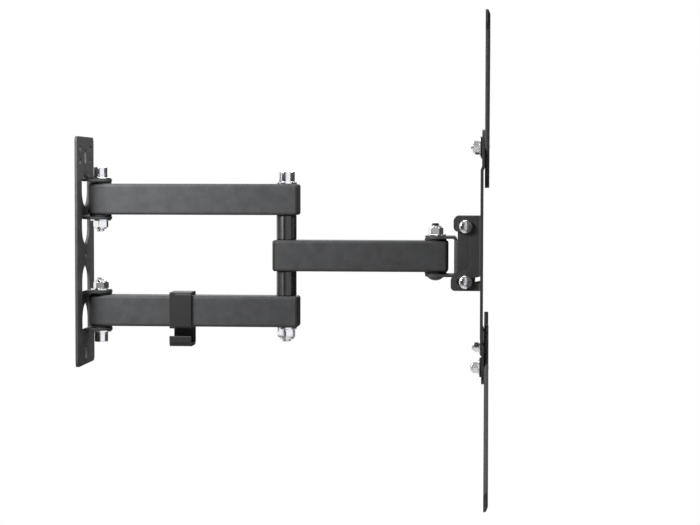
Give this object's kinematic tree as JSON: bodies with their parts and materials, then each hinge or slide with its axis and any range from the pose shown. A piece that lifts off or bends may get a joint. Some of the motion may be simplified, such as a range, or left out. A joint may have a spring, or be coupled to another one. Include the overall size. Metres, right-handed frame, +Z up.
{
  "type": "swivel tv wall mount",
  "caption": "Full-motion television wall mount: wall plate, paired rear arms, front arm, swivelling and tilting head with a square plate and diagonal extension arms.",
  "frame": {"origin": "on the back face of the wall plate, midway between its two lag screw slots, level with the middle of the front arm", "axes": "+X out of the wall towards the television, +Y along the wall, +Z up"},
  "size_m": [0.3941, 0.4282, 0.4282],
  "materials": {
    "powder_coat": "fine textured black powder coat",
    "satin_black_steel": "smooth satin black",
    "black_oxide_steel": "smooth black, slight sheen",
    "zinc_plated_steel": "bright bluish zinc plating",
    "black_plastic": "matt moulded"
  },
  "bodies": {
    "wall_bracket": {"wall_plate": "powder_coat", "wall_pivot_screws": "zinc_plated_steel", "wall_spring_washers": "zinc_plated_steel", "wall_flat_washers": "zinc_plated_steel", "wall_lock_nuts": "zinc_plated_steel", "wall_friction_washers": "black_plastic"},
    "rear_arms": {"upper_arm": "powder_coat", "lower_arm": "powder_coat", "wall_end_bushes": "black_plastic", "elbow_end_bushes": "black_plastic", "rear_arm_end_caps": "black_plastic", "elbow_screw": "zinc_plated_steel", "elbow_washers": "zinc_plated_steel", "elbow_lock_nut": "zinc_plated_steel", "upper_spacer_sleeve": "satin_black_steel", "lower_spacer_sleeve": "satin_black_steel", "cable_clip": "black_plastic"},
    "front_arm": {"front_arm": "powder_coat", "front_elbow_bush": "black_plastic", "front_head_bush": "black_plastic", "front_arm_elbow_cap": "black_plastic", "front_arm_head_cap": "black_plastic"},
    "swivel_head": {"swivel_bracket": "powder_coat", "head_carriage_bolt": "black_oxide_steel", "head_friction_washers": "black_plastic", "head_flat_washer": "zinc_plated_steel", "head_lock_nut": "zinc_plated_steel", "tilt_pivot_screws": "zinc_plated_steel", "tilt_slot_screws": "zinc_plated_steel", "tilt_friction_washers": "black_plastic", "tilt_lock_nuts": "zinc_plated_steel"},
    "tilting_plate": {"face_plate": "powder_coat", "adapter_upper_near": "powder_coat", "adapter_lower_near": "powder_coat", "adapter_upper_far": "powder_coat", "adapter_lower_far": "powder_coat", "adapter_bolts": "zinc_plated_steel", "adapter_cover_washers": "black_plastic", "adapter_flat_washers": "zinc_plated_steel", "adapter_lock_nuts": "zinc_plated_steel"}
  },
  "joints": [
    {"name": "wall_swivel", "type": "hinge", "parent": "wall_bracket", "child": "rear_arms", "pos_m": [0.0174, 0, 0], "axis": [0, 0, 1], "range_deg": [-90, 90]},
    {"name": "elbow_swivel", "type": "hinge", "parent": "rear_arms", "child": "front_arm", "pos_m": [0.199, 0, 0], "axis": [0, 0, 1], "range_deg": [-90, 90]},
    {"name": "head_swivel", "type": "hinge", "parent": "front_arm", "child": "swivel_head", "pos_m": [0.3429, 0, 0], "axis": [0, 0, 1], "range_deg": [-90, 90]},
    {"name": "tilt", "type": "hinge", "parent": "swivel_head", "child": "tilting_plate", "pos_m": [0.372, 0, 0.029], "axis": [0, 1, 0], "range_deg": [-4.5, 7]}
  ]
}
